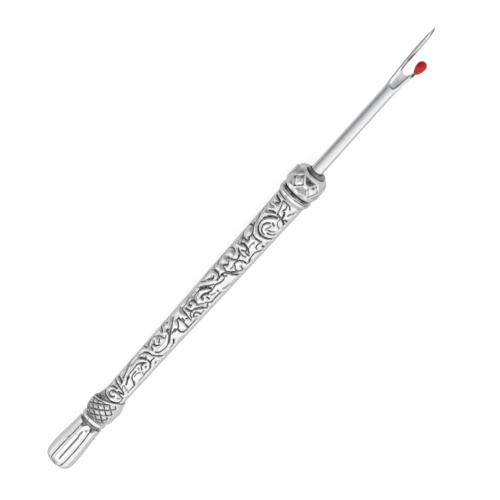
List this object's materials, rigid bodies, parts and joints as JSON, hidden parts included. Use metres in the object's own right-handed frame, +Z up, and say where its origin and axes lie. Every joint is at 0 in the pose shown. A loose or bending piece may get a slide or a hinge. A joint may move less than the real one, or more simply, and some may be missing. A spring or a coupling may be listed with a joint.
{
  "type": "seam ripper",
  "caption": "Hand seam ripper with a slim scroll-relief silver handle, round steel shank and a forked blade with one pointed prong and a bead-tipped short prong.",
  "frame": {"origin": "middle of the bounding box in X and Y, at the lowest facet of the ball head", "axes": "+X runs along the tool from the fluted butt to the point, +Z is up, the fork lies flat in XY with its long prong on +Y"},
  "size_m": [0.14, 0.009, 0.0089],
  "materials": {
    "antiqued_silver": "silver plate, antiqued dark in the recesses",
    "dark_silver": "turned, darkened",
    "polished_steel": "polished",
    "plain_steel": "plain",
    "setting_resin": "cast resin",
    "red_plastic": "glossy moulded"
  },
  "bodies": {
    "root": {"fluted_pommel": "antiqued_silver", "pommel_ring": "antiqued_silver", "lattice_bulb": "antiqued_silver", "grip_front_shell": "antiqued_silver", "grip_back_shell": "antiqued_silver", "setting_core": "setting_resin", "pommel_stud": "plain_steel", "neck_ring": "antiqued_silver", "ball_head": "antiqued_silver", "mouth_ferrule": "dark_silver", "fork_blade": "polished_steel", "safety_bead": "red_plastic"}
  },
  "joints": []
}
